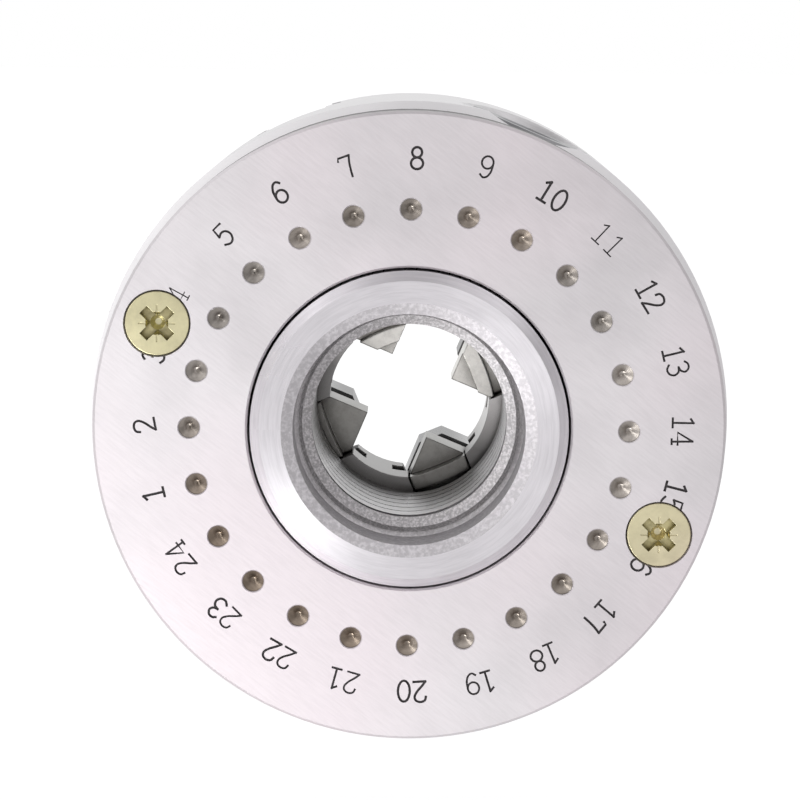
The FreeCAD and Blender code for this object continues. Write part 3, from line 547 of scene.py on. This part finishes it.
DIMPLE_REACH, DIMPLE_LIP, DIMPLE_END = 1.8, 0.20, 7.5
PLATE_SIDE, PLATE_CHAMFER = 46.3, 0.4
plate = welded_copy("index_plate", "back_plate")
for extra in (dimple_metal, shaded_plate_side):
    if extra.name not in plate.data.materials:
        plate.data.materials.append(extra)
carve(plate, stamps, self_crossing=True)
slots = {m.name: i for i, m in enumerate(plate.data.materials) if m}
for poly in plate.data.polygons:
    c = poly.center
    r = math.hypot(c.x, c.z) / MM
    y = c.y / MM - PLATE_FACE
    if abs(r - INDEX_CIRCLE) < DIMPLE_REACH and DIMPLE_LIP < y < DIMPLE_END:
        poly.material_index = slots[dimple_metal.name]
    # The plate's side takes the darker plate metal: painted shade.
    elif r > PLATE_SIDE and y > PLATE_CHAMFER:
        poly.material_index = slots[shaded_plate_side.name]
smooth_by_angle(plate)
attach(plate, "chuck")
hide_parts("back_plate")

# Spindle thread: a right-handed ridge swept along a spiral on the bore wall, by a node tree.

def node_tree(name, sizes):
    """A geometry tree whose named inputs are the sizes, with its input and output nodes."""
    tree = bpy.data.node_groups.new(name, "GeometryNodeTree")
    for label, value in sizes.items():
        kind = "NodeSocketInt" if isinstance(value, int) else "NodeSocketFloat"
        if isinstance(value, bpy.types.Material):
            kind = "NodeSocketMaterial"
        tree.interface.new_socket(label, in_out="INPUT", socket_type=kind)
    tree.interface.new_socket("Geometry", in_out="OUTPUT", socket_type="NodeSocketGeometry")
    return tree, tree.nodes.new("NodeGroupInput"), tree.nodes.new("NodeGroupOutput")


def calc(tree, operation, *values):
    """One step of arithmetic on numbers or sockets."""
    made = node(tree, "ShaderNodeMath", operation=operation)
    for socket, value in zip(made.inputs, values):
        if isinstance(value, (int, float)):
            socket.default_value = value
        else:
            tree.links.new(value, socket)
    return made.outputs[0]


def grown(name, tree, sizes):
    """The plain mesh that a geometry tree makes with these sizes."""
    maker = bpy.data.objects.new("maker", bpy.data.meshes.new("maker"))
    scene.collection.objects.link(maker)
    modifier = maker.modifiers.new("maker", "NODES")
    modifier.node_group = tree
    for item in tree.interface.items_tree:
        if item.in_out == "INPUT":
            modifier[item.identifier] = sizes[item.name]
    bpy.context.view_layer.update()
    mesh = bpy.data.meshes.new_from_object(maker.evaluated_get(bpy.context.evaluated_depsgraph_get()))
    bpy.data.objects.remove(maker)
    mesh.name = name
    obj = bpy.data.objects.new(name, mesh)
    scene.collection.objects.link(obj)
    return obj


def thread_tree(sizes):
    """A ridge of trapezium section that winds up the Y axis and sinks into the wall at both ends."""
    tree, given, out = node_tree("thread_ridge", sizes)
    size = given.outputs
    link = tree.links.new
    spiral = node(tree, "GeometryNodeCurveSpiral")
    height = calc(tree, "MULTIPLY", size["Turns"], size["Pitch"])
    middle = calc(tree, "ADD", size["Minor radius"], calc(tree, "MULTIPLY", size["Depth"], 0.5))
    for label, source in (("Resolution", size["Steps"]), ("Rotations", size["Turns"]),
                          ("Start Radius", middle), ("End Radius", middle), ("Height", height)):
        link(source, spiral.inputs[label])
    along = tree.nodes.new("GeometryNodeSplineParameter").outputs["Factor"]
    turn = calc(tree, "MULTIPLY", along, size["Turns"])
    left = calc(tree, "SUBTRACT", size["Turns"], turn)
    nearest = calc(tree, "MINIMUM", turn, left)
    reached = calc(tree, "DIVIDE", nearest, size["Run-out"])
    sunk = calc(tree, "MAXIMUM", calc(tree, "SUBTRACT", 1.0, reached), 0.0)
    outward = node(tree, "ShaderNodeVectorMath", operation="MULTIPLY")
    outward.inputs[1].default_value = (1.0, 1.0, 0.0)
    link(tree.nodes.new("GeometryNodeInputPosition").outputs[0], outward.inputs[0])
    unit = node(tree, "ShaderNodeVectorMath", operation="NORMALIZE")
    link(outward.outputs[0], unit.inputs[0])
    shift = node(tree, "ShaderNodeVectorMath", operation="SCALE")
    link(unit.outputs[0], shift.inputs[0])
    link(calc(tree, "MULTIPLY", sunk, size["Depth"]), shift.inputs["Scale"])
    sink = node(tree, "GeometryNodeSetPosition")
    link(spiral.outputs[0], sink.inputs["Geometry"])
    link(shift.outputs[0], sink.inputs["Offset"])
    upright = node(tree, "GeometryNodeSetCurveNormal", mode="Z_UP")
    link(sink.outputs[0], upright.inputs[0])
    section = node(tree, "GeometryNodeCurvePrimitiveQuadrilateral", mode="TRAPEZOID", Offset=0.0)
    for label, source in (("Height", size["Depth"]), ("Bottom Width", size["Root"]),
                          ("Top Width", size["Crest"])):
        link(source, section.inputs[label])
    turned_section = node(tree, "GeometryNodeTransform")
    turned_section.inputs["Rotation"].default_value = (0.0, 0.0, SECTION_TURN)
    link(section.outputs[0], turned_section.inputs[0])
    sweep = node(tree, "GeometryNodeCurveToMesh")
    sweep.inputs["Fill Caps"].default_value = True
    link(upright.outputs[0], sweep.inputs["Curve"])
    link(turned_section.outputs[0], sweep.inputs["Profile Curve"])
    laid = node(tree, "GeometryNodeTransform")
    laid.inputs["Rotation"].default_value = (math.radians(-90.0), 0.0, 0.0)
    link(sweep.outputs[0], laid.inputs[0])
    lift = node(tree, "ShaderNodeCombineXYZ")
    link(size["Start"], lift.inputs[1])
    link(lift.outputs[0], laid.inputs["Translation"])
    real = tree.nodes.new("GeometryNodeRealizeInstances")
    link(laid.outputs[0], real.inputs[0])
    dressed = tree.nodes.new("GeometryNodeSetMaterial")
    link(real.outputs[0], dressed.inputs[0])
    link(size["Finish"], dressed.inputs["Material"])
    link(dressed.outputs[0], out.inputs[0])
    return tree


def turned_ring(name, profile, material, steps=144):
    """A ring turned about the chuck axis from (radius, depth) points in mm."""
    count = len(profile)
    verts = [polar(360.0 * i / steps, r, y) for i in range(steps) for r, y in profile]
    faces = [(i * count + k, i * count + (k + 1) % count, (i + 1) % steps * count + (k + 1) % count,
              (i + 1) % steps * count + k) for i in range(steps) for k in range(count)]
    return mesh_object(name, verts, faces, material)


def faced_outwards(obj):
    """Joins doubled points and turns the faces outwards."""
    bm = bmesh.new()
    bm.from_mesh(obj.data)
    bmesh.ops.remove_doubles(bm, verts=bm.verts, dist=1e-7)
    bmesh.ops.recalc_face_normals(bm, faces=bm.faces)
    bm.to_mesh(obj.data)
    bm.free()


SECTION_TURN = math.radians(90.0)
THREAD_SIZES = {"Turns": (THREAD_END - THREAD_START) / THREAD_PITCH, "Pitch": THREAD_PITCH * MM, "Steps": 72,
                "Minor radius": THREAD_MINOR * MM, "Depth": (THREAD_MAJOR + 0.25 - THREAD_MINOR) * MM,
                "Crest": 0.5 * MM, "Root": 3.1 * MM, "Run-out": 0.2, "Start": THREAD_START * MM,
                "Finish": thread_metal}
thread = grown("spindle_thread", thread_tree(THREAD_SIZES), THREAD_SIZES)
faced_outwards(thread)
for angle in PINION_ANGLES:
    bpy.ops.mesh.primitive_cylinder_add(vertices=48, radius=PILOT_RADIUS * MM, depth=12 * MM,
                                        location=polar(angle, 21.5, PINION_HEIGHT))
    drill = bpy.context.object
    drill.rotation_euler = polar(angle, 1).to_track_quat("Z", "Y").to_euler()
    carve(thread, drill)
smooth_by_angle(thread, 20.0)
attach(thread, "chuck")

# The thread's lead-in: a cone from the register down to the thread's minor radius.
LEAD_IN_PROFILE = [(16.6, 8.45), (16.0, 10.0), (THREAD_MINOR, 10.8), (THREAD_MINOR, 11.2), (16.75, 12.6),
                   (16.75, 8.6)]
lead_in = turned_ring("thread_lead_in", LEAD_IN_PROFILE, lead_metal)
faced_outwards(lead_in)
smooth_by_angle(lead_in, 20.0)
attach(lead_in, "chuck")

# Light: white surroundings, seen white by the camera and, behind the chuck, by the metal too. The rest of
# what the metal mirrors is a soft room on the camera's side.
BEHIND = (0.2, 0.6)
world = bpy.data.worlds.new("studio")
scene.world = world
world.use_nodes = True
tree = world.node_tree
tree.nodes.clear()
out = tree.nodes.new("ShaderNodeOutputWorld")
white = node(tree, "ShaderNodeBackground", Color=(1, 1, 1, 1), Strength=1.0)
room = node(tree, "ShaderNodeBackground", Strength=1.0)
coords = node(tree, "ShaderNodeTexCoord")
parts = node(tree, "ShaderNodeSeparateXYZ")
tree.links.new(coords.outputs["Generated"], parts.inputs[0])


def direction_factor(axis, stops):
    """Brightness along one axis of the room, from its low side to its high side."""
    half = node(tree, "ShaderNodeMath", operation="MULTIPLY_ADD")
    half.inputs[1].default_value, half.inputs[2].default_value = 0.5, 0.5
    tree.links.new(parts.outputs["XYZ".index(axis)], half.inputs[0])
    return ramp(tree, half.outputs[0], [(at, (level,) * 3) for at, level in stops])


height = direction_factor("Z", [(0.0, 0.95), (0.42, 0.85), (0.60, 0.66), (0.74, 0.70), (0.86, 1.25),
                                (0.94, 0.80), (1.0, 0.45)])
depth = direction_factor("Y", [(0.0, 1.0), (0.45, 0.90), (0.75, 1.05), (1.0, 1.55)])
side = direction_factor("X", [(0.0, 1.15), (0.5, 1.0), (1.0, 0.80)])
level = mixed(tree, "MULTIPLY", 1.0, mixed(tree, "MULTIPLY", 1.0, height, depth), side)
tree.links.new(mixed(tree, "MULTIPLY", 1.0, level, (1.0, 0.985, 0.995)), room.inputs[0])
rays = node(tree, "ShaderNodeLightPath")
behind = node(tree, "ShaderNodeMapRange", interpolation_type="SMOOTHSTEP")
behind.inputs["From Min"].default_value, behind.inputs["From Max"].default_value = BEHIND
tree.links.new(parts.outputs[1], behind.inputs["Value"])
seen = calc(tree, "MAXIMUM", rays.outputs["Is Camera Ray"], rays.outputs["Is Transmission Ray"])
mirrored = calc(tree, "MULTIPLY", rays.outputs["Is Glossy Ray"], behind.outputs[0])
choose = node(tree, "ShaderNodeMixShader")
tree.links.new(calc(tree, "MAXIMUM", seen, mirrored), choose.inputs[0])
tree.links.new(room.outputs[0], choose.inputs[1])
tree.links.new(white.outputs[0], choose.inputs[2])
tree.links.new(choose.outputs[0], out.inputs[0])


# Floor: white paper under the chuck, low enough for the widest jaws, seen only from above and only by the
# camera. A share of it is lit paper, which keeps the shadow; the glow of the rest brings it back to white.
FLOOR_HALF, FLOOR_SHADOW, FLOOR_GLOW = 5.0, 0.20, 1.12
JAW_ROOM = 14.5
floor_height = size_before[0][2] - JAW_ROOM * MM
floor = mesh_object("floor", [(x * FLOOR_HALF, y * FLOOR_HALF, floor_height)
                              for x, y in ((-1, -1), (1, -1), (1, 1), (-1, 1))], [(0, 1, 2, 3)], None)
paper, tree, shader = new_material("white_paper")
shader.inputs["Base Color"].default_value = (0.88, 0.88, 0.88, 1.0)
shader.inputs["Roughness"].default_value = 0.9
glow = node(tree, "ShaderNodeEmission", Strength=FLOOR_GLOW)
lit = node(tree, "ShaderNodeMixShader")
lit.inputs[0].default_value = FLOOR_SHADOW
tree.links.new(glow.outputs[0], lit.inputs[1])
tree.links.new(shader.outputs[0], lit.inputs[2])
above = calc(tree, "SUBTRACT", 1.0, node(tree, "ShaderNodeNewGeometry").outputs["Backfacing"])
rays = node(tree, "ShaderNodeLightPath")
seen = calc(tree, "MAXIMUM", rays.outputs["Is Camera Ray"], rays.outputs["Is Transmission Ray"])
one_sided = node(tree, "ShaderNodeMixShader")
tree.links.new(calc(tree, "MULTIPLY", seen, above), one_sided.inputs[0])
tree.links.new(node(tree, "ShaderNodeBsdfTransparent").outputs[0], one_sided.inputs[1])
tree.links.new(lit.outputs[0], one_sided.inputs[2])
tree.links.new(one_sided.outputs[0], tree.nodes["Material Output"].inputs[0])
floor.data.materials.append(paper)


def area_light(name, place, aim, size, power):
    """A round lamp at a place, turned to what it lights."""
    data = bpy.data.lights.new(name, "AREA")
    data.shape = "DISK"
    data.size = size
    data.energy = power
    obj = bpy.data.objects.new(name, data)
    obj.location = place
    obj.rotation_euler = (Vector(aim) - Vector(place)).to_track_quat("-Z", "Y").to_euler()
    scene.collection.objects.link(obj)


area_light("key", (-0.18, -0.27, -0.19), (-0.01, 0, -0.01), 0.16, 0.62)
area_light("far", (-0.56, -0.50, 0.23), (0, 0, 0), 0.30, 0.8)

# Camera: solved from the ring of index holes in the photo.
FOCAL_PX, FRAME_PX = 3000.0, 800.0
DISTANCE, TILT, ROLL = 0.4398, 8.11, 0.55
CENTRE_PX = (409.1, 429.7)
camera_data = bpy.data.cameras.new("camera")
camera = bpy.data.objects.new("camera", camera_data)
scene.collection.objects.link(camera)
scene.camera = camera
camera_data.sensor_width = 36.0
camera_data.lens = FOCAL_PX / FRAME_PX * 36.0
camera_data.shift_x = -(CENTRE_PX[0] - FRAME_PX / 2) / FRAME_PX
camera_data.shift_y = (CENTRE_PX[1] - FRAME_PX / 2) / FRAME_PX
camera_data.clip_start, camera_data.clip_end = 0.01, 10.0
tilt, roll = math.radians(TILT), math.radians(ROLL)
back = Vector((0.0, -math.cos(tilt), math.sin(tilt)))
right = Vector((1.0, 0.0, 0.0))
up = back.cross(right)
right, up = right * math.cos(roll) + up * math.sin(roll), up * math.cos(roll) - right * math.sin(roll)
place = Matrix((right, up, back)).transposed().to_4x4()
place.translation = Vector((0, PLATE_FACE * MM, 0)) + back * DISTANCE
camera.matrix_world = place

scene.view_settings.view_transform = "Standard"
